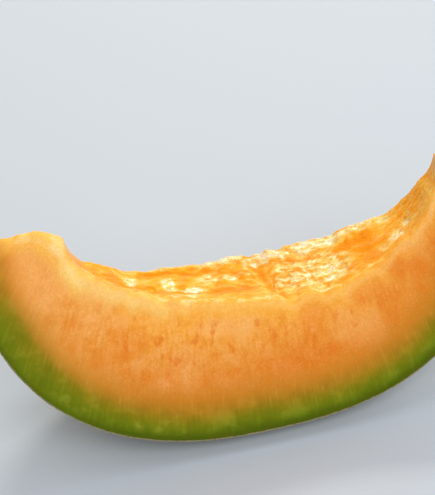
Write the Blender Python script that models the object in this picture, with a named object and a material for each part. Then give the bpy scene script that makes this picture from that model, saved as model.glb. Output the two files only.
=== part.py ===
"""One eighth of a round netted melon, cut lengthwise and scooped free of its seeds.

The slice lies on its rind. +X runs along the melon's core line, +Z is up, and the blunt
ridge where the two cut faces meet stands over the middle of the base. The melon itself
is modelled whole, with its net raised, and is then cut as a knife and a spoon would.
Everything is in metres.
"""
import math
import random

import bmesh
import bpy
import numpy as np
from mathutils import Matrix, Vector

# The whole melon
CORE_HALF_LENGTH = 0.0779
BODY_RADIUS = 0.0710
BODY_POWER = 2.44          # 2 is an ellipse, and more is squarer
STEM_DIP_DEPTH = 0.0020
STEM_DIP_RADIUS = 0.0075

# The slice
SLICES_IN_A_MELON = 8
HALF_TURN = math.pi / SLICES_IN_A_MELON    # from the middle of the slice to a cut face
RIDGE_WIDTH = 0.0016       # the knife passes half of this beside the core line
FLAT_SPOT_DEPTH = 0.0010   # how far the lowest net cords are pressed flat

# The net
NET_CELLS_PER_EDGE = 11    # cells along one edge of the icosahedron that it is spaced on
NET_HEIGHT = 0.0006
NET_FLOOR_SHARE = 0.70     # how much of a cell's width its floor keeps
NET_SCATTER = 0.19         # how far a crossing strays, as a share of the spacing
NET_MERGED_SHARE = 0.08    # cords that are missing, which leaves long cells
NET_CORNER_CUT = 100 / 3   # percent of each edge that a corner is cut back by
NET_CELL_SIDES = 6         # a cell with more sides than this keeps all its cords
NET_SEED = 7
NET_SPIN = 0.4             # turns the icosahedron so that none of its corners meets a cut
NET_SPIN_AXIS = (1, 2, 3)
ICOSAHEDRON_EDGE = math.radians(63.4)

# The scooped hollow, which lies a little nearer the blossom end
HOLLOW_MIDDLE = 0.00515
HOLLOW_HALF_LENGTH = 0.05475
HOLLOW_DEPTH = 0.0325
HOLLOW_POWER = 2.41
FRONT_TURNING_POINT = 0.004    # the front edge is shallower before this place and deeper past it
FRONT_SHALLOW = 0.0036
FRONT_SHALLOW_RUN = 0.026
FRONT_DEEP = 0.0022
FRONT_DEEP_RUN = 0.038
# Where the spoon bit deeper into an edge, or left flesh standing there: the side, -1 at the
# front and 1 at the rear, the place along the melon, the half width and the depth
EDGE_BITES = (
    (-1, -0.0390, 0.0115, -0.0023),
    (-1, -0.0297, 0.0020, -0.0010),
    (-1, 0.0170, 0.0032, -0.0016),
    (-1, 0.0450, 0.0026, -0.0012),
    (1, -0.0340, 0.0110, 0.0025),
    (1, -0.0462, 0.0030, 0.0050),
    (1, -0.0385, 0.0022, -0.0014),
    (1, -0.0140, 0.0060, 0.0007),
    (1, -0.0040, 0.0013, -0.0008),
    (1, 0.0108, 0.0016, -0.0011),
    (1, 0.0280, 0.0028, 0.0010),
    (1, 0.0475, 0.0050, 0.0030),
)
SHOULDER_PLACE = 0.0565        # flesh that the spoon left standing at the blossom end
SHOULDER_WIDTH = 0.0028
SHOULDER_HEIGHT = 0.0048
UNEVEN_REACH = 2.5             # half turns from the middle past which the hollow is plain
# How the spoon rounded the ridge down into the hollow: side, depth and reach
LIPS = ((-1, 0.0055, 0.0085), (1, 0.0022, 0.0030))
LIP_POWER = 1.4
HOLLOW_TURN_STEPS = 120
HOLLOW_LENGTH_STEPS = 72

# Folds that the seed strands left in the hollow: each is a groove along a bent line, with
# its start and end along the melon, its turn at the start, middle and end in degrees, its
# width and its depth
HOLLOW_FOLDS = (
    (-0.034, 0.050, 16.5, 19.0, 4.0, 0.0019, 0.0010),
    (-0.044, 0.008, 5.0, 3.0, -9.0, 0.0021, 0.0009),
    (-0.030, 0.000, -12.0, -14.0, -15.0, 0.0016, 0.0005),
    (0.012, 0.052, -11.0, -6.0, 2.0, 0.0024, 0.0007),
)
# The fold that crosses the hollow: where it lies at the rear edge and at the front edge
CROSS_FOLD_REAR = 0.004
CROSS_FOLD_FRONT = 0.012
CROSS_FOLD_BEND = 1.4
CROSS_FOLD_WIDTH = 0.0020
CROSS_FOLD_STEP = 0.0012
CROSS_FOLD_FADE = 5            # widths past the fold over which its step fades
HOLLOW_RIPPLE = 0.00035
HOLLOW_RIPPLE_LENGTH = 0.0085
RIPPLE_ACROSS = 1.4            # waves across the hollow for each wave along it
RIPPLE_BEND = 2                # how far each wave bends the other
RIPPLE_BEND_ACROSS = 0.8       # how often the waves along the hollow bend, across it
RIPPLE_BEND_ALONG = 0.5        # how often the waves across it bend, along it

FLESH_COLOUR = (0.85, 0.36, 0.07, 1)

WELD = 0.00002


def clear_scene():
    """Remove every object that the file opened with."""
    for thing in list(bpy.data.objects):
        bpy.data.objects.remove(thing, do_unlink=True)


def skin_point(direction):
    """The point of the melon's skin that lies in this direction from its middle.

    The outline is a superellipse turned about the core line, with a shallow dip where
    the stem grew.
    """
    along = abs(direction.x)
    across = math.hypot(direction.y, direction.z)
    reach = ((along / CORE_HALF_LENGTH) ** BODY_POWER
             + (across / BODY_RADIUS) ** BODY_POWER) ** (-1 / BODY_POWER)
    point = direction * reach
    if direction.x < 0:
        off_core = math.hypot(point.y, point.z) / STEM_DIP_RADIUS
        point.x += STEM_DIP_DEPTH * math.exp(-off_core ** 2)
    return point


def scatter(verts, distance, draw):
    """Shift points on the unit sphere sideways by a seeded random amount."""
    for vert in verts:
        step = Vector([draw.uniform(-1, 1) for _ in range(3)]) * distance
        vert.co = (vert.co + step).normalized()


def honeycomb_sphere(draw):
    """Cover the unit sphere with uneven six-sided cells.

    An icosahedron is split into even triangles, and each corner is then cut back by a
    third of its edges, which leaves a cell for each corner and for each triangle.
    """
    bm = bmesh.new()
    bmesh.ops.create_icosphere(bm, subdivisions=1, radius=1.0)
    bmesh.ops.subdivide_edges(bm, edges=bm.edges[:], cuts=NET_CELLS_PER_EDGE - 1,
                              use_grid_fill=True)
    spin = Matrix.Rotation(NET_SPIN, 3, Vector(NET_SPIN_AXIS).normalized())
    bmesh.ops.rotate(bm, verts=bm.verts[:], matrix=spin)
    spacing = ICOSAHEDRON_EDGE / NET_CELLS_PER_EDGE
    for vert in bm.verts:
        vert.co.normalize()
    scatter(bm.verts, NET_SCATTER * spacing, draw)
    bmesh.ops.bevel(bm, geom=bm.verts[:], offset=NET_CORNER_CUT, offset_type="PERCENT",
                    segments=1, affect="VERTICES")
    scatter(bm.verts, NET_SCATTER * spacing / 3, draw)
    lost = draw.sample(bm.edges[:], int(NET_MERGED_SHARE * len(bm.edges)))
    merged = set()
    chosen = []
    for edge in lost:
        small = all(len(face.edges) <= NET_CELL_SIDES for face in edge.link_faces)
        if small and not any(face in merged for face in edge.link_faces):
            chosen.append(edge)
            merged.update(edge.link_faces)
    bmesh.ops.dissolve_edges(bm, edges=chosen, use_verts=True)
    return bm


def raise_net(bm):
    """Sink the floor of every cell, which leaves its outline standing as the net's cords."""
    cells = bm.faces[:]
    bmesh.ops.inset_individual(bm, faces=cells, thickness=0.0, depth=0.0)
    for cell in cells:
        middle = cell.calc_center_median()
        inward = -cell.normal * NET_HEIGHT
        for vert in cell.verts:
            vert.co = middle + (vert.co - middle) * NET_FLOOR_SHARE + inward


def cut_flat(bm, point, normal):
    """Cut away what lies beyond a plane, and close the melon with a flat face there."""
    whole = bm.verts[:] + bm.edges[:] + bm.faces[:]
    cut = bmesh.ops.bisect_plane(bm, geom=whole, dist=WELD / 10, plane_co=point, plane_no=normal,
                                 clear_outer=True)
    rim = [piece for piece in cut["geom_cut"] if isinstance(piece, bmesh.types.BMEdge)]
    bmesh.ops.contextual_create(bm, geom=rim)


def netted_slice():
    """The slice before it is scooped: the netted melon, cut beside its core line twice."""
    bm = honeycomb_sphere(random.Random(NET_SEED))
    for vert in bm.verts:
        vert.co = skin_point(vert.co)
    bm.normal_update()
    raise_net(bm)
    cut_flat(bm, Vector((0, 0, 0)), Vector((0, 0, 1)))
    for side in (-1, 1):
        cut_flat(bm, Vector((0, side * RIDGE_WIDTH / 2, 0)),
                 Vector((0, side * math.cos(HALF_TURN), math.sin(HALF_TURN))))
    bmesh.ops.remove_doubles(bm, verts=bm.verts[:], dist=WELD)
    for vert in bm.verts:
        vert.co.z = max(vert.co.z, FLAT_SPOT_DEPTH - BODY_RADIUS)
    bmesh.ops.recalc_face_normals(bm, faces=bm.faces[:])
    return bm


def frontness(turn):
    """1 at the front cut face, 0 at the rear one, and even between them."""
    return np.clip((HALF_TURN - turn) / (2 * HALF_TURN), 0, 1)


def fold_relief(x, turn):
    """How much deeper the hollow is at each point because of its folds and ripples.

    A long fold is a bell-shaped groove about a bent line. The cross fold is a smooth
    step with a groove at its foot. The ripples are two crossing waves that bend each other.
    """
    relief = np.zeros_like(x)
    for start, end, turn_a, turn_b, turn_c, width, depth in HOLLOW_FOLDS:
        share = np.clip((x - start) / (end - start), 0, 1)
        line = np.radians(turn_a * (1 - share) ** 2 + 2 * turn_b * share * (1 - share)
                          + turn_c * share ** 2)
        fade = np.sin(np.pi * share) ** 0.5
        relief += depth * fade * np.exp(-((turn - line) * HOLLOW_DEPTH / width) ** 2)
    bend = frontness(turn) ** CROSS_FOLD_BEND
    line = CROSS_FOLD_REAR + (CROSS_FOLD_FRONT - CROSS_FOLD_REAR) * bend
    past = (x - line) / CROSS_FOLD_WIDTH
    step = 0.5 * np.tanh(past) * np.exp(-(past / CROSS_FOLD_FADE) ** 2)
    relief += CROSS_FOLD_STEP * (np.exp(-past ** 2) + step)
    along = 2 * np.pi * x / HOLLOW_RIPPLE_LENGTH
    across = 2 * np.pi * HOLLOW_DEPTH * turn / HOLLOW_RIPPLE_LENGTH
    along_wave = np.sin(along + RIPPLE_BEND * np.sin(RIPPLE_BEND_ACROSS * across))
    across_wave = np.sin(RIPPLE_ACROSS * across + RIPPLE_BEND * np.sin(RIPPLE_BEND_ALONG * along))
    relief += HOLLOW_RIPPLE * along_wave * across_wave
    return relief


def edge_lean(x, turn):
    """How much deeper the hollow is than a turned bowl, most of all at its two edges.

    The front edge is shallower before its turning point, by a quarter wave, and deeper
    past it, by half a wave. Each bite is a bell with a flat top. What belongs to one
    edge fades with the square of the way to the other.
    """
    front = frontness(turn)
    before = np.clip((FRONT_TURNING_POINT - x) / FRONT_SHALLOW_RUN, 0, 1)
    after = np.clip((x - FRONT_TURNING_POINT) / FRONT_DEEP_RUN, 0, 1)
    lean = FRONT_DEEP * np.sin(np.pi * after) - FRONT_SHALLOW * np.sin(np.pi / 2 * before)
    lean *= front ** 2
    for side, place, width, depth in EDGE_BITES:
        near_edge = front if side < 0 else 1 - front
        lean += near_edge ** 2 * depth * np.exp(-((x - place) / width) ** 4)
    return lean


def hollow_radius(x, turn):
    """How far the hollow reaches from the core line, by place along it and turn about it.

    A superellipse gives the bowl, and the edges' lean, a shoulder of standing flesh and
    the folds are added to it. Past each end a short curved tail rounds the flesh over
    to the ridge.
    """
    inside = np.clip(1 - np.abs((x - HOLLOW_MIDDLE) / HOLLOW_HALF_LENGTH) ** HOLLOW_POWER, 0, 1)
    bowl = HOLLOW_DEPTH * inside ** (1 / HOLLOW_POWER)
    shoulder = SHOULDER_HEIGHT * np.exp(-((x - SHOULDER_PLACE) / SHOULDER_WIDTH) ** 2)
    near_the_slice = np.exp(-(turn / (UNEVEN_REACH * HALF_TURN)) ** 4)
    uneven = edge_lean(x, turn) - shoulder + fold_relief(x, turn)
    depth = bowl + inside ** 0.5 * near_the_slice * uneven
    for side, rounding, reach in LIPS:
        past_end = side * (x - HOLLOW_MIDDLE) - HOLLOW_HALF_LENGTH
        share = np.where(past_end > -HOLLOW_HALF_LENGTH, 1 - np.clip(past_end, 0, reach) / reach, 0)
        depth = np.maximum(depth, rounding * share ** LIP_POWER)
    return depth


def hollow_body():
    """The scooped-out body: a sphere whose points move out to the hollow's own radius."""
    bm = bmesh.new()
    bmesh.ops.create_uvsphere(bm, u_segments=HOLLOW_TURN_STEPS, v_segments=HOLLOW_LENGTH_STEPS,
                              radius=1.0)
    unit = np.array([vert.co for vert in bm.verts], dtype=float)
    ends = [HOLLOW_MIDDLE + side * (HOLLOW_HALF_LENGTH + reach) for side, _, reach in LIPS]
    x = (ends[0] + ends[1]) / 2 + (ends[1] - ends[0]) / 2 * unit[:, 2]
    turn = np.arctan2(unit[:, 0], -unit[:, 1])
    radius = hollow_radius(x, turn)
    for vert, place, angle, reach in zip(bm.verts, x, turn, radius):
        vert.co = Vector((place, reach * math.sin(angle), -reach * math.cos(angle)))
    bm.normal_update()
    return bm


def flesh_material():
    """Ripe orange flesh, wet where it is cut."""
    material = bpy.data.materials.new("flesh")
    material.use_nodes = True
    shader = material.node_tree.nodes["Principled BSDF"]
    shader.inputs["Base Color"].default_value = FLESH_COLOUR
    shader.inputs["Roughness"].default_value = 0.35
    shader.inputs["Metallic"].default_value = 0.0
    material.diffuse_color = FLESH_COLOUR
    return material


def add_object(name, bm, collection):
    """Turn a bmesh into an object of this name in this collection."""
    mesh = bpy.data.meshes.new(name)
    bm.to_mesh(mesh)
    bm.free()
    thing = bpy.data.objects.new(name, mesh)
    collection.objects.link(thing)
    return thing


def stand_on_flat_spot(bm):
    """Bring the flat spot to the ground and the middle of the slice over the origin."""
    corners = np.array([vert.co for vert in bm.verts])
    low, high = corners.min(axis=0), corners.max(axis=0)
    shift = Vector((-(low[0] + high[0]) / 2, -(low[1] + high[1]) / 2, -low[2]))
    bmesh.ops.translate(bm, verts=bm.verts[:], vec=shift)
    return shift


def build():
    """Cut the slice, scoop it, and stand it on its flat spot."""
    clear_scene()
    melon = bpy.data.collections.new("yubari_melon")
    cutters = bpy.data.collections.new("cutters")
    for collection in (melon, cutters):
        bpy.context.scene.collection.children.link(collection)

    body = netted_slice()
    scoop = hollow_body()
    shift = stand_on_flat_spot(body)
    bmesh.ops.translate(scoop, verts=scoop.verts[:], vec=shift)

    slice_object = add_object("melon_slice", body, melon)
    slice_object.data.materials.append(flesh_material())
    scoop_object = add_object("scoop", scoop, cutters)
    scoop_object.hide_render = True
    scoop_object.display_type = "WIRE"

    hollow = slice_object.modifiers.new("hollow", "BOOLEAN")
    hollow.operation = "DIFFERENCE"
    hollow.solver = "EXACT"
    hollow.object = scoop_object
    weld = slice_object.modifiers.new("weld", "WELD")
    weld.merge_threshold = WELD


build()
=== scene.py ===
"""The finish of one eighth of a round netted melon, cut lengthwise and scooped.

The slice is one closed surface, worked out as a grid: its rows run from the stem end to
the blossom end, and each row goes once round the slice, down the front cut face, under
the rind, up the rear cut face and across the scooped hollow. Lengths are in metres, and
a place on the melon is measured from its middle: x along the core line, z up.
"""
import functools
import itertools
import math
import random

import bmesh
import bpy
import numpy as np
from mathutils import Matrix, Vector


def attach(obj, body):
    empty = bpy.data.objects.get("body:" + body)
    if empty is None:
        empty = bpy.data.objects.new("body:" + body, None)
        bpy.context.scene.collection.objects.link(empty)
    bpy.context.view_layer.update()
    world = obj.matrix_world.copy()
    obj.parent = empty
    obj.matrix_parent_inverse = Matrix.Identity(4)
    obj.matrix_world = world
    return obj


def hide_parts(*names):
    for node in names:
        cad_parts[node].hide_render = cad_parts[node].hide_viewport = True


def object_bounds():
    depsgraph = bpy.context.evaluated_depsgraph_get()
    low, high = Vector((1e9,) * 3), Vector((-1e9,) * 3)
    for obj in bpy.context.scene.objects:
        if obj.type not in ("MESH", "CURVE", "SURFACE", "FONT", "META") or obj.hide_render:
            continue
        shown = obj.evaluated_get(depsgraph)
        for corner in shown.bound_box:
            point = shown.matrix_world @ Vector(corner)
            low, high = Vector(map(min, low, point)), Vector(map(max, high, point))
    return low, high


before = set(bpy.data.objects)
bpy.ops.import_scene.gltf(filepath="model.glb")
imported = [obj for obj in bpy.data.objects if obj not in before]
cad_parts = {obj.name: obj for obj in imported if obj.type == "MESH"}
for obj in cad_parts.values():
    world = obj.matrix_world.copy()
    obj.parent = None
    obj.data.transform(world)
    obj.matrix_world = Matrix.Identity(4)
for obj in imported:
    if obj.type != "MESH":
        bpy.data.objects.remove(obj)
cad_low, cad_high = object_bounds()
MM = 0.001
TINY = 1e-12  # what a divisor is kept above

# The whole melon, as the solid has it
CORE_HALF_LENGTH = 0.0779
BODY_RADIUS = 0.071
BODY_POWER = 2.44
STEM_DIP_DEPTH = 0.002
STEM_DIP_RADIUS = 0.0075
SLICES_IN_A_MELON = 8
HALF_TURN = math.pi / SLICES_IN_A_MELON
RIDGE_HALF_WIDTH = 0.0008
MELON_MIDDLE = Vector((-0.00025, 0, cad_high[2]))  # in the frame: the core line is at its top

# The scooped hollow, as the solid has it. A bite is its side (-1 is the front), place, width
# and depth, a tail its side, rounding and reach, and a fold its start and end, the three turns
# in degrees that shape its line, its width and its depth.
HOLLOW_MIDDLE = 0.00515
HOLLOW_HALF_LENGTH = 0.05475
HOLLOW_DEPTH = 0.0325
HOLLOW_POWER = 2.41
FRONT_TURNING_POINT = 0.004
FRONT_SHALLOW = 0.0036
FRONT_SHALLOW_RUN = 0.026
FRONT_DEEP = 0.0022
FRONT_DEEP_RUN = 0.038
EDGE_BITES = (
    (-1, -0.039, 0.0115, -0.0023), (-1, -0.0297, 0.002, -0.001),
    (-1, 0.017, 0.0032, -0.0016), (-1, 0.045, 0.0026, -0.0012), (1, -0.034, 0.011, 0.0025),
    (1, -0.0462, 0.003, 0.005), (1, -0.0385, 0.0022, -0.0014), (1, -0.014, 0.006, 0.0007),
    (1, -0.004, 0.0013, -0.0008), (1, 0.0108, 0.0016, -0.0011), (1, 0.028, 0.0028, 0.001),
    (1, 0.0475, 0.005, 0.003),
)
SHOULDER_PLACE = 0.0565
SHOULDER_WIDTH = 0.0028
SHOULDER_HEIGHT = 0.0048
UNEVEN_REACH = 2.5
TAILS = ((-1, 0.0055, 0.0085), (1, 0.0022, 0.003))
TAIL_POWER = 1.4
HOLLOW_FOLDS = (
    (-0.034, 0.05, 16.5, 19, 4, 0.0019, 0.001),
    (-0.044, 0.008, 5, 3, -9, 0.0021, 0.0009),
    (-0.03, 0.000, -12, -14, -15, 0.0016, 0.0005),
    (0.012, 0.052, -11, -6, 2, 0.0024, 0.0007),
)
CROSS_FOLD_REAR = 0.004
CROSS_FOLD_FRONT = 0.012
CROSS_FOLD_BEND = 1.4
CROSS_FOLD_WIDTH = 0.002
CROSS_FOLD_STEP = 0.0012
CROSS_FOLD_FADE = 5
HOLLOW_RIPPLE = 0.00035
HOLLOW_RIPPLE_LENGTH = 0.0085
RIPPLE_ACROSS = 1.4
RIPPLE_BEND = 2
RIPPLE_BEND_ACROSS = 0.8
RIPPLE_BEND_ALONG = 0.5

# How far the blunt ridge past each end of the hollow lies below the core line. A step adds
# its height from its place towards the stem, over its run.
RIDGE_DROP = 0.12 * MM
RIDGE_LEAST_DROP = 0.05 * MM
RIDGE_STEPS = (
    (0.5 * MM, 0, 0.01), (0.75 * MM, -0.0612, 0.0022), (-0.5 * MM, -0.062, 0.007),
    (-0.375 * MM, -0.067, 0.004),
)
RIDGE_WAVE = (0.16 * MM, 3.1 * MM, 31)

# The net, spaced as the solid has it
NET_CELLS_PER_EDGE = 11
NET_SCATTER = 0.19
NET_CORNER_SCATTER = NET_SCATTER / 3
NET_MERGED_SHARE = 0.08
NET_CORNER_CUT = 100 / 3
NET_CELL_SIDES = 6
NET_SEED = 7
NET_SPIN = 0.4
NET_SPIN_AXIS = (1, 2, 3)
ICOSAHEDRON_EDGE = math.radians(63.4)
NET_HEIGHT = 0.0006
NET_KEPT_TURN = 2.2 * HALF_TURN  # cells further round than this aren't near the slice,
NET_KEPT_RADIUS = 12 * MM  # but for those this near the core line

# The net's cords. A wave is how much smooth noise adds, how long its waves are and its seed.
CORD_HALF_WIDTH = 0.00085
NET_BEND_WAVES = [(0.35 * MM, 2.3 * MM, seed) for seed in (40, 41, 42)]
CORD_WIDTH_WAVE = (0.28, 4.5 * MM, 50)
CORD_CRUMBLE_WAVE = (0.12, 0.9 * MM, 51)
CORD_HEIGHT_WAVE = (0.12, 7 * MM, 52)
CELL_BULGE = 0.1  # how high a cell's middle stands, as a share of the net's height
CELL_BULGE_RUN = 2 * MM

# The grid, with its rows and columns, and its samples where it is measured by adding up steps
ROWS = 470
RIND_COLUMNS = 96
FACE_COLUMNS = 16
LIP_COLUMNS = 6
HOLLOW_COLUMNS = 68
CROWDING = 0.75  # how much closer a face's columns are at its ends, up to 1
HOLLOW_SAMPLES = 4000
RIDGE_SAMPLES = 300
POINT_CHUNKS = 24

# The rounded lip between the hollow and each cut face (-1 is the front one)
LIP_RADIUS = {-1: 0.0016, 1: 0.001}
LIP_WAVE = (0.45, 2.7 * MM, 60)
FRONT_LIP_SOFTER = 0.6  # how much rounder the front lip gets towards the stem
FRONT_LIP_STEMWARD = (-0.004, 0.01)  # from this place, over this run
LIP_MOST_OF_ARC = 0.42  # the most that a lip takes of the hollow's arc,
LIP_MOST_OF_FACE = 0.3  # and of the cut face
RIDGE_MOST_OF_TIP = 0.5  # the most that the ridge's half width takes of the tip's radius

# What the wet hollow's surface shows: pale strands, whose colour also carries painted highlights of the wet
# film, and deep orange flesh. A patch is a soft oval: its middle along the melon in millimetres and about
# the core line in degrees, its half length, its half height in degrees, and how pale and highlit (above 0)
# or how deep orange (below 0) it is.
HIGHLIT_PALE_AND_DEEP_PATCHES = (
    (-4.5, 21.2, 8.5, 3.8, 1), (9.5, 19.6, 8.8, 5, 1.1), (24.8, 18.4, 8.8, 5.4, 1),
    (21, 2, 15, 16, 0.52),
    (37, 19.5, 6, 4.8, 0.7), (-22, 21.6, 13, 1.6, 0.45), (46, 19, 4, 2.6, 0.4),
    (-43.6, 2, 2.4, 5.5, 0.5),
    (-32.2, 9.5, 1.9, 5, 0.7), (-21, 6.8, 2, 5.2, 0.85), (-16.2, 3, 4.4, 2.2, 1.15),
    (-9, 9.5, 4, 4.5, 0.4), (-1.4, 8.3, 5.2, 3, 1), (-18.5, -7, 4, 3.4, 0.55),
    (15, -0.5, 7, 7.6, 0.85), (26, -4, 4.2, 11, 0.7), (-30, -2, 4, 3, 0.35),
    (42, -11, 1.6, 4.5, 0.6), (46.4, -6, 1.8, 9, 0.7), (51, 1.5, 1.3, 7.5, 0.6),
    (-14, -21.5, 16, 1.6, 0.9), (7, -20.5, 6, 2.6, 0.85), (22, -20, 6, 2.2, 0.8),
    (36, -19.5, 5, 1.8, 0.55),
    (-37.5, 9, 2.4, 7, -0.8), (-3.5, -4, 7.6, 4.6, -1.1), (38, -3, 5.5, 15, -0.6),
    (-44, 8, 3, 9, -0.45), (-25, -2, 3.5, 3, -0.5), (36, 10.5, 6, 2.6, -0.7),
)
PITTED_PATCH = (14, 0.5, 7, 9)
OVAL_FLAT = 0.55  # the share of an oval's radius over which it is full
OVAL_FADE = 0.75  # and the share over which it then fades

# How these places are pushed about, in millimetres: an amount and a wave length each
PUSHES_ALONG = ((1.3, 3.4), (0.7, 1.4))
PUSHES_ACROSS = ((1.15, 3), (0.7, 1.3))
PATCH_SEED = 21
CREASE_SEED = 61

# The same on the cut faces: a patch's middle along the melon and down from the core line,
# its half length and its half height, all in millimetres, and how pale or deep it is
FACE_PATCHES = (
    (-58, 13, 8, 11, 0.5), (-44, 26, 7, 7, 0.35), (-7, 38.5, 9, 3.5, 0.6),
    (29, 47, 8, 6, 0.35), (-24, 50, 8, 4, 0.3), (49, 22, 5, 9, 0.35),
    (17, 41, 5, 4.6, -0.34), (45, 31.5, 5, 3.6, -0.5), (51.5, 10, 4, 8, -0.4),
    (13, 51.5, 13, 4.2, -0.4), (-37, 36, 6, 4.6, -0.25), (34, 37.5, 6, 3.4, -0.35),
)
FACE_PUSH_WAVES = ((1.6, 5 * MM, 110), (1.6, 5 * MM, 111))

# Creases between the strands: a bent line of (millimetres, degrees), its half width in
# millimetres and its strength. A crease is a groove in the surface, and its deeper orange is painted shade.
CREASES = (
    (((-30, 14.6), (-27.4, 17), (-22.6, 18.2), (-14.6, 17.4), (-9, 16), (-3.8, 13.6),
      (0.6, 9.6), (3.4, 4.5)), 0.75, 1),
    (((-8, 13), (-3, 10.6), (2.4, 4.4)), 0.45, 0.6),
    (((3.2, 16.2), (5.2, 11.6), (6.8, 2), (8.4, -6.4), (10.4, -16)), 0.85, 1),
    (((-34.6, 5.6), (-29, 5.4), (-25.8, 4), (-21.8, 0.8), (-14.6, -1.6), (-9, -3.4)),
     0.6, 0.9),
    (((7, 15), (14, 13.2), (23, 11.2), (31, 9.8), (40, 12)), 0.7, 0.9),
    (((20.4, 9), (20.9, 0), (22, -9), (24.5, -17)), 0.4, 0.7),
    (((30.6, 9), (31.2, 0), (32.2, -10)), 0.5, 0.5),
    (((10, 7.4), (12, 10.4), (14.6, 9.2), (14.2, 6.8), (11.8, 6.2)), 0.3, 0.7),
    (((19, 1.8), (16.3, 4.6), (12.7, 4.6), (10, 1.8), (9.4, -2.6), (11.2, -6.5), (14.5, -8),
      (17.8, -6.5)), 0.34, 0.75),
    (((15.8, 1.3), (13.2, 1.3), (11.9, -1.5), (13.2, -4.3), (15.8, -4.3), (17.1, -2.1)), 0.26, 0.7),
)
DEGREE = 0.57  # millimetres across the hollow's floor for each degree about the core line

# Where the finish's measures begin and end
BOWL_EDGE = 1 / 25  # the share of the bowl's section past which it is all hollow
HOLLOW_ON_RIDGE = 0.15  # how much of the hollow's finish the ridge has
BESIDE_FADE = 1.5 * MM  # how far patches and creases reach onto a cut face
WET_FROM_TURN = -21  # degrees: nearer the front edge than this, the flesh is dry
WET_TURN_RUN = 10
# The pale band along each lip: flesh that is paler there, with a painted highlight on the lip's rounding
PALE_LIP_STEMWARD = (-0.012, 0.022)
PALE_LIP = (0.22, 0.34)  # how pale, and what it gains towards the stem
PALE_LIP_WIDTH = (2 * MM, 2.6 * MM)
PALE_LIP_FULL = 1.15  # past 1, so that it stays full over the first of its width

# The hollow's fine relief, with heights in millimetres. The waves of strands and pits are 1
# high, and get their heights once they are folded.
STRAND_WAVE = (1, np.array([6.5, 1.6, 1.6]) * MM, 70)
SWELLING_WAVE = (0.16, 5.5 * MM, 80)
FINE_WAVE = (0.08, np.array([1.5, 0.9, 0.9]) * MM, 85)
PIT_WAVE = (1, 1.5 * MM, 90)
CRUMB_WAVE = (0.24, 1.7 * MM, 95)
STRAND_SLOPE = 0.3  # how far strands lean across the melon as they run along it
STRAND_HEIGHT = 0.06
PALE_STRAND_HEIGHT = 0.16
STRANDS_LOST_TO_PITS = 0.6
PIT_HEIGHT = 0.16
PALE_HEIGHT = 0.22
CREASE_DEPTH = 0.32
CRUMB_START = (16, -14)  # degrees about the core line and millimetres along it,
CRUMB_RUN = (5, 8)  # and how long they take to come in
RELIEF_FADE = 0.9  # millimetres onto a cut face
RELIEF_ON_RIDGE = 0.12
RELIEF_BOWL_EDGE = 1 / 6
RELIEF_KEPT = 0.3  # the relief is a measure where at least this much of it is left


def smooth_noise(points, seed):
    """Random numbers on a cubic lattice, blended smoothly between its corners.

    points is an array of places in lattice cells, and the result is between -1 and 1.
    The blend is the fifth-order curve 6t^5 - 15t^4 + 10t^3 along each axis.
    """
    size = 32
    lattice = np.random.RandomState(seed).uniform(-1, 1, (size, size, size))
    cell = np.floor(points).astype(int)
    t = points - cell
    t = t ** 3 * (t * (6 * t - 15) + 10)
    total = np.zeros(points.shape[:-1])
    for corner in itertools.product((0, 1), repeat=3):
        share = np.prod(np.where(np.array(corner) == 1, t, 1 - t), axis=-1)
        index = (cell + corner) % size
        total += share * lattice[index[..., 0], index[..., 1], index[..., 2]]
    return total


def waver(points, wave, layers=1):
    """Smooth noise of this amount, wave length and seed.

    Each further layer is twice as fine and half as strong as the one before.
    """
    amount, length, seed = wave
    points = points / length
    return amount * sum(smooth_noise(points * 2 ** k, seed + k) / 2 ** k for k in range(layers))


def ease(t):
    """A smooth step from 0 to 1."""
    t = np.clip(t, 0, 1)
    return t * t * (3 - 2 * t)


def stemward(x, place, run):
    """0 up to this place, and a smooth rise to 1 towards the stem end over this run."""
    return ease((place - x) / run)


def running_sum(steps):
    """0, and then the sum of the steps so far."""
    return np.concatenate([[0], np.cumsum(steps)])


def about_core(x, r, turn):
    """The points at these places along the core line, this far from it and turned about it."""
    return np.stack(np.broadcast_arrays(x, r * np.sin(turn), -r * np.cos(turn)), axis=-1)


def skin_level(x, r):
    """How far out in the melon a place is, and 1 on its skin:

    ((x / half length)^power + (r / radius)^power)^(1 / power).
    """
    return ((np.abs(x) / CORE_HALF_LENGTH) ** BODY_POWER
            + (r / BODY_RADIUS) ** BODY_POWER) ** (1 / BODY_POWER)


def skin_outline(angle):
    """The melon's outline: how far along the core line and how far from it the skin is.

    angle is measured about the melon's middle, from the stem end. The stem's dip is a
    bell-shaped dent.
    """
    x, r = -np.cos(angle), np.sin(angle)
    x, r = np.array([x, r]) / skin_level(x, r)
    return x + np.where(x < 0, STEM_DIP_DEPTH * np.exp(-(r / STEM_DIP_RADIUS) ** 2), 0), r


def frontness(turn):
    """1 at the front cut face, 0 at the rear one, and even between them."""
    return np.clip((HALF_TURN - turn) / (2 * HALF_TURN), 0, 1)


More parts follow.
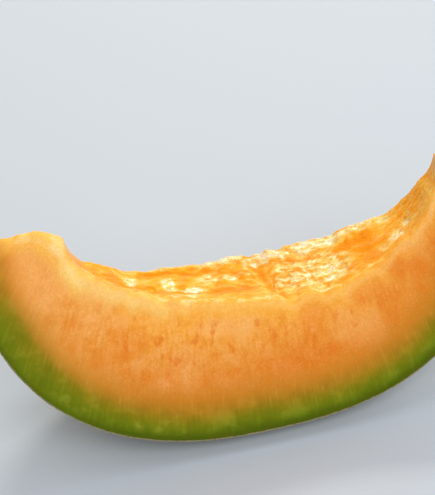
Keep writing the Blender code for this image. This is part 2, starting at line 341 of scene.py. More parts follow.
def fold_relief(x, turn):
    """How much deeper the hollow is at each point because of its folds and ripples.

    A long fold is a bell-shaped groove about a bent line. The cross fold is a smooth
    step with a groove at its foot. The ripples are two crossing waves that bend each other.
    """
    relief = np.zeros(np.broadcast(x, turn).shape)
    for start, end, turn_a, turn_b, turn_c, width, depth in HOLLOW_FOLDS:
        share = np.clip((x - start) / (end - start), 0, 1)
        line = np.radians(turn_a * (1 - share) ** 2 + 2 * turn_b * share * (1 - share)
                          + turn_c * share ** 2)
        fade = np.sin(np.pi * share) ** 0.5
        relief += depth * fade * np.exp(-((turn - line) * HOLLOW_DEPTH / width) ** 2)
    bend = frontness(turn) ** CROSS_FOLD_BEND
    line = CROSS_FOLD_REAR + (CROSS_FOLD_FRONT - CROSS_FOLD_REAR) * bend
    past = (x - line) / CROSS_FOLD_WIDTH
    step = 0.5 * np.tanh(past) * np.exp(-(past / CROSS_FOLD_FADE) ** 2)
    relief += CROSS_FOLD_STEP * (np.exp(-past ** 2) + step)
    along = 2 * np.pi * x / HOLLOW_RIPPLE_LENGTH
    across = 2 * np.pi * HOLLOW_DEPTH * turn / HOLLOW_RIPPLE_LENGTH
    along_wave = np.sin(along + RIPPLE_BEND * np.sin(RIPPLE_BEND_ACROSS * across))
    across_wave = np.sin(RIPPLE_ACROSS * across + RIPPLE_BEND * np.sin(RIPPLE_BEND_ALONG * along))
    relief += HOLLOW_RIPPLE * along_wave * across_wave
    return relief


def edge_lean(x, turn):
    """How much deeper the hollow is than a turned bowl, most of all at its two edges.

    The front edge is shallower before its turning point, by a quarter wave, and deeper
    past it, by half a wave. Each bite is a bell with a flat top. What belongs to one
    edge fades with the square of the way to the other.
    """
    front = frontness(turn)
    before = np.clip((FRONT_TURNING_POINT - x) / FRONT_SHALLOW_RUN, 0, 1)
    after = np.clip((x - FRONT_TURNING_POINT) / FRONT_DEEP_RUN, 0, 1)
    lean = FRONT_DEEP * np.sin(np.pi * after) - FRONT_SHALLOW * np.sin(np.pi / 2 * before)
    lean = lean * front ** 2
    for side, place, width, depth in EDGE_BITES:
        near_edge = front if side < 0 else 1 - front
        lean = lean + near_edge ** 2 * depth * np.exp(-((x - place) / width) ** 4)
    return lean


def bowl_share(x):
    """How much of the hollow's full section is left at each place along the core line."""
    return np.clip(1 - np.abs((x - HOLLOW_MIDDLE) / HOLLOW_HALF_LENGTH) ** HOLLOW_POWER, 0, 1)


def tail_radius(x):
    """The short curved tails that round the flesh over from the hollow to the ridge."""
    radius = np.zeros_like(x)
    for side, rounding, reach in TAILS:
        past_end = side * (x - HOLLOW_MIDDLE) - HOLLOW_HALF_LENGTH
        share = np.where(past_end > -HOLLOW_HALF_LENGTH, 1 - np.clip(past_end, 0, reach) / reach, 0)
        radius = np.maximum(radius, rounding * share ** TAIL_POWER)
    return radius


def ridge_drop(x):
    """How far the blunt ridge lies below the core line: smooth steps, and small waves."""
    line = np.stack([x, x * 0, x * 0 + RIDGE_WAVE[1] / 2], axis=-1)
    steps = sum(height * stemward(x, place, run) for height, place, run in RIDGE_STEPS)
    return np.maximum(RIDGE_DROP + steps + waver(line, RIDGE_WAVE), RIDGE_LEAST_DROP)


def hollow_radius(x, turn):
    """How far the hollow or the ridge is from the core line, by place and turn about it."""
    inside = bowl_share(x)
    shoulder = SHOULDER_HEIGHT * np.exp(-((x - SHOULDER_PLACE) / SHOULDER_WIDTH) ** 2)
    near_the_slice = np.exp(-(turn / (UNEVEN_REACH * HALF_TURN)) ** 4)
    uneven = edge_lean(x, turn) - shoulder + fold_relief(x, turn)
    depth = HOLLOW_DEPTH * inside ** (1 / HOLLOW_POWER) + inside ** 0.5 * near_the_slice * uneven
    return np.maximum(depth, np.maximum(tail_radius(x), ridge_drop(x)))


def even_places_on_the_inner_edge(shares):
    """Places along the core line that lie evenly along the ridge and the hollow's outline."""
    ends = [HOLLOW_MIDDLE - HOLLOW_HALF_LENGTH, HOLLOW_MIDDLE + HOLLOW_HALF_LENGTH]
    sweep = HOLLOW_MIDDLE - HOLLOW_HALF_LENGTH * np.cos(np.linspace(0, np.pi, HOLLOW_SAMPLES))
    stem_ridge = np.linspace(-CORE_HALF_LENGTH + STEM_DIP_DEPTH, ends[0], RIDGE_SAMPLES)[:-1]
    blossom_ridge = np.linspace(ends[1], CORE_HALF_LENGTH, RIDGE_SAMPLES)[1:]
    x = np.concatenate([stem_ridge, sweep, blossom_ridge])
    r = np.maximum(HOLLOW_DEPTH * bowl_share(x) ** (1 / HOLLOW_POWER), tail_radius(x))
    run = running_sum(np.hypot(np.diff(x), np.diff(r)))
    return np.interp(shares * run[-1], run, x)


def net_cell_middles():
    """The middles of the net's cells, on the skin, spaced by the same draws as the solid's."""
    draw = random.Random(NET_SEED)
    bm = bmesh.new()
    bmesh.ops.create_icosphere(bm, subdivisions=1, radius=1.0)
    bmesh.ops.subdivide_edges(bm, edges=bm.edges[:], cuts=NET_CELLS_PER_EDGE - 1,
                              use_grid_fill=True)
    spin = Matrix.Rotation(NET_SPIN, 3, Vector(NET_SPIN_AXIS).normalized())
    bmesh.ops.rotate(bm, verts=bm.verts[:], matrix=spin)
    spacing = ICOSAHEDRON_EDGE / NET_CELLS_PER_EDGE
    for vert in bm.verts:
        vert.co.normalize()
    scatter(bm.verts, NET_SCATTER * spacing, draw)
    bmesh.ops.bevel(bm, geom=bm.verts[:], offset=NET_CORNER_CUT, offset_type="PERCENT",
                    segments=1, affect="VERTICES")
    scatter(bm.verts, NET_CORNER_SCATTER * spacing, draw)
    lost = draw.sample(bm.edges[:], int(NET_MERGED_SHARE * len(bm.edges)))
    merged = set()
    chosen = []
    for edge in lost:
        small = all(len(face.edges) <= NET_CELL_SIDES for face in edge.link_faces)
        if small and not any(face in merged for face in edge.link_faces):
            chosen.append(edge)
            merged.update(edge.link_faces)
    bmesh.ops.dissolve_edges(bm, edges=chosen, use_verts=True)
    middles = np.array([face.calc_center_median().normalized() for face in bm.faces])
    bm.free()
    x, r = skin_outline(np.arccos(np.clip(-middles[:, 0], -1, 1)))
    turn = np.arctan2(middles[:, 1], -middles[:, 2])
    return about_core(x, r, turn)[(np.abs(turn) < NET_KEPT_TURN) | (r < NET_KEPT_RADIUS)]


def scatter(verts, distance, draw):
    """Shift points on the unit sphere sideways by a seeded random amount."""
    for vert in verts:
        step = Vector([draw.uniform(-1, 1) for _ in range(3)]) * distance
        vert.co = (vert.co + step).normalized()


def distance_to_cords(points, middles):
    """How far each point is from the nearest border between two cells.

    For a point nearest to cell a, the border with cell b is at
    (distance to b squared - distance to a squared) / (2 * distance from a to b).
    """
    apart = np.linalg.norm(middles[:, None] - middles[None], axis=2)
    np.fill_diagonal(apart, np.inf)
    found = []
    for chunk in np.array_split(points.reshape(-1, 3), POINT_CHUNKS):
        squared = ((chunk[:, None] - middles[None]) ** 2).sum(axis=2)
        nearest = squared.argmin(axis=1)
        gap = squared - squared[np.arange(len(chunk)), nearest][:, None]
        found.append((gap / (2 * apart[nearest])).min(axis=1))
    return np.concatenate(found).reshape(points.shape[:-1])


def rind_block(x, r, rim_turn):
    """The netted skin, from the front cut edge to the rear one, with its cord height.

    The skin is the melon's outline turned about the core line. A cord is highest in its
    middle and falls smoothly to the skin, and everything lies under the outline.
    """
    share = np.linspace(-1, 1, RIND_COLUMNS)[None, :]
    turn = rim_turn[:, None] * share
    x, r = x[:, None], r[:, None]
    skin = about_core(x, r, turn)
    steep_x = np.sign(x) * np.abs(x / CORE_HALF_LENGTH) ** (BODY_POWER - 1) / CORE_HALF_LENGTH
    steep_r = (r / BODY_RADIUS) ** (BODY_POWER - 1) / BODY_RADIUS
    normal = unit(about_core(steep_x, steep_r, turn))

    bend = np.stack([waver(skin, wave) for wave in NET_BEND_WAVES], axis=-1)
    border = distance_to_cords(skin + bend, net_cell_middles())
    cord = 1 - ease(border / (CORD_HALF_WIDTH * (1 + waver(skin, CORD_WIDTH_WAVE))))
    strength = 1 - CORD_HEIGHT_WAVE[0] + waver(skin, CORD_HEIGHT_WAVE)
    height = np.clip(cord * (strength + waver(skin, CORD_CRUMBLE_WAVE)), 0, 1)
    bulge = CELL_BULGE * np.clip(border / CELL_BULGE_RUN, 0, 1)
    skin = skin - normal * (NET_HEIGHT * (1 - np.maximum(height, bulge)))[..., None]
    return skin, height


def crowded_at_both_ends(count):
    """Shares from 0 to 1, closer together at both ends."""
    t = np.arange(1, count + 1) / (count + 1)
    return t - CROWDING * np.sin(2 * np.pi * t) / (2 * np.pi)


def face_and_lip(corner, rim, beside, radius):
    """A flat cut face, and the quarter round of the lip between it and the hollow.

    corner is where the two would meet sharply, rim the face's edge at the rind, and beside
    the hollow's first point. Each row of the face is a straight line. The lip is
    corner + down the face * (1 - sin a) + into the hollow * (1 - cos a), for a up to 90 degrees.
    """
    down_face = rim - corner
    length = np.linalg.norm(down_face, axis=1)
    down_face *= (np.minimum(radius, LIP_MOST_OF_FACE * length) / length)[:, None]
    spread = np.concatenate([[0], crowded_at_both_ends(FACE_COLUMNS)])[None, :, None]
    face = (corner + down_face)[:, None] * (1 - spread) + rim[:, None] * spread
    a = np.radians(np.linspace(0, 90, LIP_COLUMNS + 2)[1:-1])[None, :, None]
    lip = (corner[:, None] + down_face[:, None] * (1 - np.sin(a))
           + (beside - corner)[:, None] * (1 - np.cos(a)))
    return face, lip


def hollow_point(x, turn, half_width):
    """A point of the hollow or the ridge: its arc, widened by the blunt ridge's width."""
    points = about_core(x, hollow_radius(x, turn), turn)
    points[..., 1] += half_width * turn / HALF_TURN
    return points


def unit(vectors):
    """The vectors at length 1."""
    return vectors / np.maximum(np.linalg.norm(vectors, axis=-1, keepdims=True), TINY)


def grid_normals(grid):
    """Unit normals of a grid that closes on itself across its columns."""
    across = np.roll(grid, -1, axis=1) - np.roll(grid, 1, axis=1)
    return unit(np.cross(np.gradient(grid, axis=0), across))


def slice_grid():
    """All points of the slice as rows by columns, with what its measures are worked out from.

    Besides the grid and the slice of columns that each block takes, these are the cord
    height on the rind, the turn about the core line, the inner edge's places along it, and
    how far along the skin's outline each row lies, in millimetres.
    """
    shares = np.arange(1, ROWS + 1) / (ROWS + 1)
    x_out, r_out = skin_outline(np.pi * shares)
    x_in = even_places_on_the_inner_edge(shares)
    half_width = np.minimum(RIDGE_HALF_WIDTH, RIDGE_MOST_OF_TIP * r_out)
    down = np.sqrt(r_out ** 2 - (half_width * math.cos(HALF_TURN)) ** 2)
    down -= half_width * math.sin(HALF_TURN)
    rim_turn = np.arctan2(half_width + down * math.sin(HALF_TURN), down * math.cos(HALF_TURN))
    rind, cord = rind_block(x_out, r_out, rim_turn)

    arc = 2 * (half_width + HALF_TURN * hollow_radius(x_in, x_in * 0))
    torn = 1 + waver(np.stack([x_in, x_in * 0, x_in * 0], axis=-1), LIP_WAVE)
    softer = {-1: 1 + FRONT_LIP_SOFTER * stemward(x_in, *FRONT_LIP_STEMWARD), 1: 1}
    radius = {side: np.minimum(LIP_RADIUS[side] * softer[side] * torn, LIP_MOST_OF_ARC * arc)
              for side in (-1, 1)}
    first, last = (HALF_TURN * side * (1 - 2 * radius[side] / arc) for side in (1, -1))
    share = np.linspace(0, 1, HOLLOW_COLUMNS)[None, :]
    turn = first[:, None] * (1 - share) + last[:, None] * share
    hollow = hollow_point(x_in[:, None], turn, half_width[:, None])

    faces, lips = {}, {}
    for side, rim, beside in ((-1, rind[:, 0], hollow[:, -1]), (1, rind[:, -1], hollow[:, 0])):
        corner = hollow_point(x_in, side * HALF_TURN, half_width)
        faces[side], lips[side] = face_and_lip(corner, rim, beside, radius[side])
    blocks = {"front": faces[-1], "rind": rind, "rear": faces[1][:, ::-1], "rear lip": lips[1],
              "hollow": hollow, "front lip": lips[-1][:, ::-1]}
    grid = np.concatenate(list(blocks.values()), axis=1)
    starts = running_sum([block.shape[1] for block in blocks.values()])
    columns = {name: slice(*starts[k:k + 2]) for k, name in enumerate(blocks)}

    turns = np.zeros(grid.shape[:2])
    for name, block_turn in (("front", -HALF_TURN), ("rear", HALF_TURN), ("rear lip", HALF_TURN),
                             ("hollow", turn), ("front lip", -HALF_TURN)):
        turns[:, columns[name]] = block_turn
    fan = running_sum(np.hypot(np.diff(x_out), np.diff(r_out))) / MM
    return grid, columns, cord, turns, x_in, fan


def measure_grid(grid, columns, cord, turns, x_in, fan):
    """The values at each point that the finish reads: depths in millimetres, masks from 0 to 1."""
    depth, from_hollow, hollow, net = np.zeros((4, *grid.shape[:2]))
    net[:, columns["rind"]] = cord
    for name, end in (("front", 0), ("rear", -1)):
        here = columns[name]
        face = grid[:, here]
        depth[:, here] = skin_depth(face)
        from_hollow[:, here] = np.linalg.norm(face - face[:, end, None], axis=-1)
        net[:, here] = cord[:, end, None]
    climb = np.arange(1, LIP_COLUMNS + 1) / (LIP_COLUMNS + 1)
    for name, share in (("rear lip", climb), ("hollow", 1), ("front lip", climb[::-1])):
        here = columns[name]
        depth[:, here] = skin_depth(grid[:, here])
        hollow[:, here] = share
    in_bowl = ease(bowl_share(x_in) / BOWL_EDGE)[:, None]
    beside = in_bowl * np.exp(-from_hollow / BESIDE_FADE)
    beside[:, columns["rind"]] = 0
    wet = hollow * in_bowl * ease((np.degrees(turns) - WET_FROM_TURN) / WET_TURN_RUN)
    gained = stemward(x_in, *PALE_LIP_STEMWARD)[:, None]
    strength, width = (least + gain * gained for least, gain in (PALE_LIP, PALE_LIP_WIDTH))
    pale_lip_and_highlight = in_bowl * strength * ease(PALE_LIP_FULL - from_hollow / width)
    pale_lip_and_highlight[:, columns["rind"]] = 0
    away = np.hypot(grid[..., 1], grid[..., 2])
    patch_place, crease_place = (pushed_about(x_in[:, None], turns, seed)
                                 for seed in (PATCH_SEED, CREASE_SEED))
    pushes = [waver(grid, wave) for wave in FACE_PUSH_WAVES]
    face_tone = patchwork(grid[..., 0] / MM + pushes[0], away / MM + pushes[1], FACE_PATCHES)
    return {
        "depth": depth / MM, "from_hollow": from_hollow / MM, "net": net, "wet": wet,
        "hollow": hollow * (HOLLOW_ON_RIDGE + (1 - HOLLOW_ON_RIDGE) * in_bowl),
        # pale strands of the hollow, and the painted highlights of its wet film
        "pale_and_highlit": beside * patchwork(*patch_place, HIGHLIT_PALE_AND_DEEP_PATCHES),
        "crease": beside * crease_strength(*crease_place),
        "face_tone": (1 - hollow) * face_tone, "pale_lip_and_highlight": pale_lip_and_highlight,
        "fan": fan[:, None] + 0 * net,
    }


def soft_oval(first, second, middle, other_middle, half_length, half_height):
    """1 in the middle of an oval, falling smoothly past its outline."""
    away = np.hypot((first - middle) / half_length, (second - other_middle) / half_height)
    return 1 - ease((away - OVAL_FLAT) / OVAL_FADE)


def pushed_about(x, turn, seed):
    """Places in millimetres and degrees, pushed about by coarse and fine smooth noise.

    So no patch has an oval outline and no crease an even one.
    """
    place = np.stack(np.broadcast_arrays(x / MM, np.degrees(turn) * DEGREE, 0.5), axis=-1)
    seeds = itertools.count(seed)
    pushed = []
    for axis, pushes in enumerate((PUSHES_ALONG, PUSHES_ACROSS)):
        pushed.append(place[..., axis] + sum(waver(place, (*push, next(seeds))) for push in pushes))
    return pushed[0], pushed[1] / DEGREE


def crease_strength(x, turn):
    """1 along each crease, fading to 0 as exp(-(distance / half width)^2)."""
    strength = np.zeros(x.shape)
    for line, half_width, depth in CREASES:
        ends = np.array(line) * [1, DEGREE]
        point = np.stack([x, turn * DEGREE], axis=-1)
        nearest = np.full(x.shape, np.inf)
        for start, end in zip(ends[:-1], ends[1:]):
            run = end - start
            share = np.clip(((point - start) @ run) / (run @ run), 0, 1)
            away = np.linalg.norm(point - start - share[..., None] * run, axis=-1)
            nearest = np.minimum(nearest, away)
        strength = np.maximum(strength, depth * np.exp(-(nearest / half_width) ** 2))
    return strength


def patchwork(first, second, patches):
    """The strongest pale patch at each place, less the strongest deep one where it isn't pale."""
    pale, deep = np.zeros(first.shape), np.zeros(first.shape)
    for patch in patches:
        oval = soft_oval(first, second, *patch[:4]) * abs(patch[4])
        if patch[4] > 0:
            pale = np.maximum(pale, oval)
        else:
            deep = np.maximum(deep, oval)
    return pale - deep * (1 - pale)


def skin_depth(points):
    """How deep a point lies under the melon's outline, along the line from its middle."""
    level = skin_level(points[..., 0], np.hypot(points[..., 1], points[..., 2]))
    reach = np.linalg.norm(points, axis=-1)
    return np.maximum(reach / np.maximum(level, TINY) - reach, 0)


def roughen_hollow(grid, columns, measures, turns, x_in):
    """Shift the hollow's points along their normals: strands, swellings and fine pits.

    Strands are noise stretched along the melon and folded sharp at its crests, strongest
    where the flesh is pale. Swellings are slow noise, the pits are fine noise inside one
    patch, and crumbs roughen the rear edge. The shift fades out over the first millimetres
    of the cut faces.
    """
    near = np.exp(-measures["from_hollow"] / RELIEF_FADE)
    near[:, columns["rind"]] = 0
    in_bowl = ease(bowl_share(x_in) / RELIEF_BOWL_EDGE)[:, None]
    near *= RELIEF_ON_RIDGE + (1 - RELIEF_ON_RIDGE) * in_bowl
    pale = np.clip(measures["pale_and_highlit"], 0, 1)
    place = np.degrees(turns), x_in[:, None] / MM
    leaning = grid + grid[..., :1] * [0, STRAND_SLOPE, 0]
    strands = 1 - 2 * np.abs(waver(leaning, STRAND_WAVE, layers=2))
    pitted = soft_oval(place[1], place[0], *PITTED_PATCH)
    pits = 1 - 2 * np.abs(waver(grid, PIT_WAVE))
    rear, onward = (ease((place[k] - CRUMB_START[k]) / CRUMB_RUN[k]) for k in (0, 1))
    shift = strands * (STRAND_HEIGHT + PALE_STRAND_HEIGHT * pale)
    shift *= 1 - STRANDS_LOST_TO_PITS * pitted
    shift += waver(grid, SWELLING_WAVE, layers=2) + waver(grid, FINE_WAVE) * pale
    shift += PIT_HEIGHT * pits * pitted + waver(grid, CRUMB_WAVE, layers=2) * rear * onward
    shift += PALE_HEIGHT * measures["pale_and_highlit"] - CREASE_DEPTH * measures["crease"]
    measures["relief"] = np.where(near > RELIEF_KEPT, strands * (1 - pitted) + pits * pitted, 0)
    return grid + grid_normals(grid) * (shift * near * MM)[..., None]


def new_material(name, constants):
    """A material with its Principled shader, whose own sockets are set to these constants."""
    material = bpy.data.materials.new(name)
    material.use_nodes = True
    shader = material.node_tree.nodes["Principled BSDF"]
    for socket, value in constants.items():
        shader.inputs[socket].default_value = value
    return material, Nodes(material.node_tree), shader


def colour(red, green, blue):
    """A colour as the eye names it, from 0 to 255, as linear values, by the sRGB curve."""
    tones = [value / 255 for value in (red, green, blue)]
    return [t / 12.92 if t <= 0.04045 else ((t + 0.055) / 1.055) ** 2.4 for t in tones] + [1.0]


class Nodes:
    """Short calls that add and link the nodes of one tree."""

    def __init__(self, tree):
        self.tree = tree

    def add(self, kind, **settings):
        node = self.tree.nodes.new(kind)
        for name, value in settings.items():
            setattr(node, name, value)
        return node

    def link(self, source, target):
        """Join an output to this input, or set the input to a constant."""
        if isinstance(source, bpy.types.NodeSocket):
            self.tree.links.new(source, target)
        else:
            target.default_value = source

    def fill(self, node, values):
        """The node, with its first inputs linked or set to these values."""
        for socket, value in zip(node.inputs, values):
            self.link(value, socket)
        return node

    def math(self, operation, first, second=0.0, third=0.0):
        return self.fill(self.add("ShaderNodeMath", operation=operation), (first, second, third)).outputs[0]

    def sway(self, field, amount, base=0.0):
        """A noise about 0 instead of 0.5, times an amount and added to a base."""
        return self.math("MULTIPLY_ADD", self.math("SUBTRACT", field, 0.5), amount, base)

    def measure(self, name):
        return self.add("ShaderNodeAttribute", attribute_name=name).outputs["Fac"]

    def span(self, value, low, high, to_low=0.0, to_high=1.0, smooth=False):
        node = self.add("ShaderNodeMapRange", clamp=True)
        node.interpolation_type = "SMOOTHSTEP" if smooth else "LINEAR"
        return self.fill(node, (value, low, high, to_low, to_high)).outputs[0]

    def product(self, fields, spans):
        """What all these spans give, multiplied together."""
        shares = [self.span(fields[name], *values) for name, *values in spans]
        return functools.reduce(lambda first, second: self.math("MULTIPLY", first, second), shares)

    def ramp(self, value, tones):
        node = self.add("ShaderNodeValToRGB")
        elements = node.color_ramp.elements
        while len(elements) < len(tones):
            elements.new(0.5)
        for element, (place, rgb) in zip(elements, tones):
            element.position = place
            element.color = colour(*rgb)
        self.link(value, node.inputs[0])
        return node.outputs["Color"]

    def mix(self, share, first, second):
        node = self.add("ShaderNodeMix", data_type="RGBA")
        for socket, value in (("Factor", share), (6, first), (7, second)):
            self.link(value, node.inputs[socket])
        return node.outputs[2]

    def tinted(self, fields, tone, tints):
        """The colour with these tints laid over it, one after the other."""
        for rgb, *spans in tints:
            tone = self.mix(self.product(fields, spans), tone, colour(*rgb))
        return tone

    def noise(self, vector, scale, detail=2.0, roughness=0.5, distortion=0.0):
        node = self.add("ShaderNodeTexNoise")
        values = (vector, scale, detail, roughness, distortion)
        for name, value in zip(("Vector", "Scale", "Detail", "Roughness", "Distortion"), values):
            self.link(value, node.inputs[name])
        return node.outputs["Fac"]

    def group(self, tree, *values):
        return self.fill(self.add("ShaderNodeGroup", node_tree=tree), values)

    def stretch(self, vector, scale):
        node = self.add("ShaderNodeVectorMath", operation="MULTIPLY")
        return self.fill(node, (vector, scale)).outputs[0]

    def join(self, x, y, z):
        return self.fill(self.add("ShaderNodeCombineXYZ"), (x, y, z)).outputs[0]

    def bump(self, height, strength, distance, normal=None):
        node = self.add("ShaderNodeBump")
        node.inputs["Strength"].default_value = strength
        node.inputs["Distance"].default_value = distance
        self.link(height, node.inputs["Height"])
        if normal is not None:
            self.link(normal, node.inputs["Normal"])
        return node.outputs["Normal"]


# A span turns a field, which is a measure of the mesh, a place or a noise, into a share: the
# field's name, where the span starts and ends, the share at each (0 and 1 if not given), and
# whether it is smooth between them.
SMOOTH = True

# The flesh's measures, and its noises: in space or along the fan of fibres on a cut face, how
# their axes are stretched, their scale, detail, roughness and distortion
FLESH_MEASURES = ("depth", "from_hollow", "hollow", "relief", "pale_and_highlit", "crease", "fan",
                  "face_tone", "pale_lip_and_highlight", "net", "wet")
EVEN = (1, 1, 1)
FLESH_NOISES = {
    "cloud": ("place", EVEN, 62, 3), "drift": ("place", EVEN, 210, 3),
    "blotches": ("place", EVEN, 205, 4, 0.62),
    "fibres": ("fan", (0.85, 0.14, 1), 1, 3, 0.6),
    "flecks": ("fan", (0.34, 0.19, 1), 1, 2, 0.55),
    "strands": ("place", (0.42, 1, 1), 660, 4, 0.6, 1),
    "curls": ("place", (0.8, 1, 1), 640, 2, 0.55, 1.6),
}
BLOTCHES_IN_MOTTLE = 0.68
FLESH_GRAINS_PER_METRE = 1500

# The dry flesh's bands of colour by how deep they lie under the rind, in millimetres, how
# far noises sway them, and where they lie deeper or less deep
RAMP_DEPTH = 40
FLESH_TONES = (
    (0, (72, 86, 4)), (1.6, (80, 100, 4)), (3.8, (112, 126, 10)), (6.6, (146, 128, 18)),
    (9.3, (180, 128, 30)), (12.6, (203, 131, 36)), (18, (226, 140, 46)), (26, (240, 160, 60)),
    (34, (252, 176, 66)),
)
BAND_SWAYS = (("cloud", 3), ("drift", 2.2), ("fibres", 1.6))
SWAYED = (("depth", 0.5, 4.5),)
DEEPER_BY_THE_STEM = (("along", -0.036, -0.062, 0, 2.1, SMOOTH),
                      ("depth", 2, 8, -0.55, 1), ("depth", 22, 13))
THINNER_BY_THE_RIDGE = (("height", 0.046, 0.064, 0, 5, SMOOTH), ("depth", 1, 5))

# Tints over the dry flesh: a colour, and the spans that say where and how strong it is
RIPE = ("depth", 9, 17)
PAST_HOLLOW = ("from_middle", 0.049, 0.055)
FACE_TINTS = (
    ((252, 184, 92), ("along", -0.030, -0.066, 0, 0.45, SMOOTH), RIPE),
    ((246, 180, 118), ("mottle", 0.42, 0.66, 0, 0.46, SMOOTH), ("depth", 12, 25),
     ("along", 0.045, -0.02, 0.35, 1)),
    ((226, 122, 28), ("mottle", 0.56, 0.34, 0, 0.46, SMOOTH), RIPE),
    ((255, 190, 74), ("from_hollow", 6, 0.5, 0, 0.55, SMOOTH), ("depth", 9, 20),
     ("along", 0.036, 0.008, 0.4, 1)),
    ((252, 190, 116), ("face_tone", 0, 1, 0, 0.8), RIPE),
    ((228, 112, 20), ("face_tone", 0, -1, 0, 0.8), RIPE),
    ((255, 200, 88), PAST_HOLLOW, ("from_hollow", 7, 0, 0, 0.6, SMOOTH),
     ("depth", 8, 14)),
    # a cream line along the ridge's crest: a painted highlight
    ((255, 230, 170), PAST_HOLLOW, ("from_hollow", 2.2, 0.2, 0, 0.60, SMOOTH),
     ("drift", 0.40, 0.58, 0.20, 1), ("depth", 9, 20)),
    # the pale band at the lip: paler flesh and a painted highlight on its rounding
    ((255, 222, 142), ("pale_lip_and_highlight", 0, 1)),
    ((168, 170, 60), ("drift", 0.45, 0.70, 0, 0.45, SMOOTH), ("depth", 1.5, 4),
     ("depth", 12, 6), ("along", 0, -0.05, 0.35, 1)),
    ((98, 92, 10), ("mottle", 0.56, 0.36, 0, 0.32), ("depth", 13, 8)),
)
FIBRE_TONE = (176, 182, 80)
FIBRE_TINTS = (((252, 186, 110), ("depth", 7, 12)),)
FIBRES = (("fibres", 0.55, 0.78, 0, 0.20, SMOOTH), ("depth", 2, 9, 0.3, 1),
          ("depth", 15, 9, 0.35, 1))
SPECK_TINTS = (
    ((230, 112, 22), ("flecks", 0.55, 0.67, 0, 0.55, SMOOTH),
     ("depth", 16, 22, 0, 1, SMOOTH), ("from_hollow", 3, 6),
     ("along", 0.060, 0, 0.45, 1), ("along", -0.048, -0.034)),
    ((196, 118, 36), ("speckle", 0.35, 0.62, 0.16, 0), RIPE),
    ((255, 206, 136), ("speckle", 0.52, 0.75, 0, 0.12), RIPE),
)

# The wet flesh's colour by how pale it is, up to the cream of a painted highlight on the wet film,
# what makes it paler or deeper, and the dark outlines of its curls and creases. Paler on the relief's
# crests and in streaks is painted highlight too.
WET_TONES_TO_HIGHLIGHT = (
    (0, (246, 146, 18)), (0.25, (250, 158, 26)), (0.42, (252, 172, 42)), (0.56, (252, 196, 86)),
    (0.70, (252, 212, 122)), (0.83, (254, 228, 156)), (1, (255, 246, 208)),
)
WET_RANGE = (-1, 1.4)
# paler on the relief's crests and in streaks: painted highlight
PALER_WITH_RELIEF = 0.14
PALER_WITH_DRIFT = 0.9
# less pale along the creases: painted shade, with no painted highlight
PALER_WITH_CREASE = -1.2
STREAKS = (("pale_and_highlit", -0.3, 0.7, 1.2, 4.9),)
WET_TINTS = (
    # dark outlines of the curls, which break up the painted highlight of the pale strands
    ((204, 140, 50), ("curl_edge", 0, 0.035, 1, 0, SMOOTH),
     ("pale_and_highlit", 0, 0.6, 0.12, 0.85)),
    # deeper orange along the creases: painted shade in the grooves
    ((248, 150, 26), ("crease", 0, 1, 0, 0.65)),
)

# The cork that shows at the rim of a cut face, in millimetres under the skin
RIM_SWAY = 0.3
RIM_CORK = 0.08
RIM_CORK_AT_CORDS = 0.34
RIM_TONE = (84, 78, 28)
RIM_TONE_SHARE = 0.65

# The flesh's shine and bumps. A bump is its strength and its height in metres.
FLESH_CONSTANTS = {
    "Roughness": 0.40, "Specular IOR Level": 0.05, "Coat Roughness": 0.08, "Coat IOR": 1.40,
    "Subsurface Weight": 0.30, "Subsurface Radius": (1, 0.45, 0.15), "Subsurface Scale": 0.0025,
}
FLESH_ROUGHNESS = (("wet", 0, 1, 0.42, 0.16),)
SPECKLE_ROUGHNESS = 0.2
WET_GLOSS = (("wet", 0, 1), ("pale_and_highlit", 0, 0.7, 0.12, 1),
             ("crease", 0.2, 0.9, 1, 0.25))
GRAIN_BUMP = (0.5, 0.0002)
GRAIN_BUMPED = (("hollow", 0, 0.5, 1, 0.35),)
CURL_BUMP = (0.8, 0.0003)
CURL_BUMPED = (("hollow", 0.1, 0.8),)
CURLS_TO_STRANDS = 0.8
FIBRE_BUMP = (0.07, 0.0004)

# The net's cork and the skin between its cords
CORK_GRAINS_PER_METRE = 900
GRAIN_DETAIL = (2, 0.6)  # and roughness
PORE = (0.46, 0.30)  # the grain's values where a pore begins and where it is full
CORK_RAGGEDNESS = 0.35
CORK_RAISED = (0.22, 0.48)
CORK_TONES = ((0.3, (150, 140, 108)), (0.5, (186, 178, 146)), (0.7, (208, 202, 174)))
SKIN_TONES = ((0.30, (112, 128, 78)), (0.5, (134, 146, 92)), (0.70, (160, 164, 108)))
SKIN_CLOUD = (45, 3)
PORE_TONE = (92, 108, 62)
PORE_SHARE = 0.5
RIND_CONSTANTS = {"Roughness": 0.6, "Specular IOR Level": 0.4}
RIND_ROUGHNESS = (0.42, 0.85)  # of the skin and of the cork
RIND_BUMP = (0.6, 0.0003)
NET_IN_BUMP = 0.8


def effect_group(name, inputs, outputs):
    """An empty node group with these sockets, which more than one material uses."""
    group = bpy.data.node_groups.new(name, "ShaderNodeTree")
    for direction, sockets in (("INPUT", inputs), ("OUTPUT", outputs)):
        for label, kind in sockets:
            group.interface.new_socket(label, in_out=direction, socket_type="NodeSocket" + kind)
    n = Nodes(group)
    return group, n, n.add("NodeGroupInput").outputs, n.add("NodeGroupOutput").inputs


def fine_grain_group():
    """Fine grain: a value of noise, and where it is low enough to be a pore."""
    group, n, given, result = effect_group(
        "fine_grain", [("Place", "Vector"), ("Grains per metre", "Float")],
        [("Grain", "Float"), ("Pore", "Float")])
    grain = n.noise(given["Place"], given["Grains per metre"], *GRAIN_DETAIL)
    n.link(grain, result["Grain"])
    n.link(n.span(grain, *PORE), result["Pore"])
    return group


def cork_group(grain_group):
    """The net's dry cork: where it stands, and its colour."""
    group, n, given, result = effect_group(
        "cork", [("Place", "Vector"), ("Net", "Float")],
        [("Raised", "Float"), ("Cork", "Color")])
    fine = n.group(grain_group, given["Place"], CORK_GRAINS_PER_METRE).outputs["Grain"]
    height = n.sway(fine, CORK_RAGGEDNESS, given["Net"])
    n.link(n.span(height, *CORK_RAISED, smooth=True), result["Raised"])
    n.link(n.ramp(fine, CORK_TONES), result["Cork"])
    return group


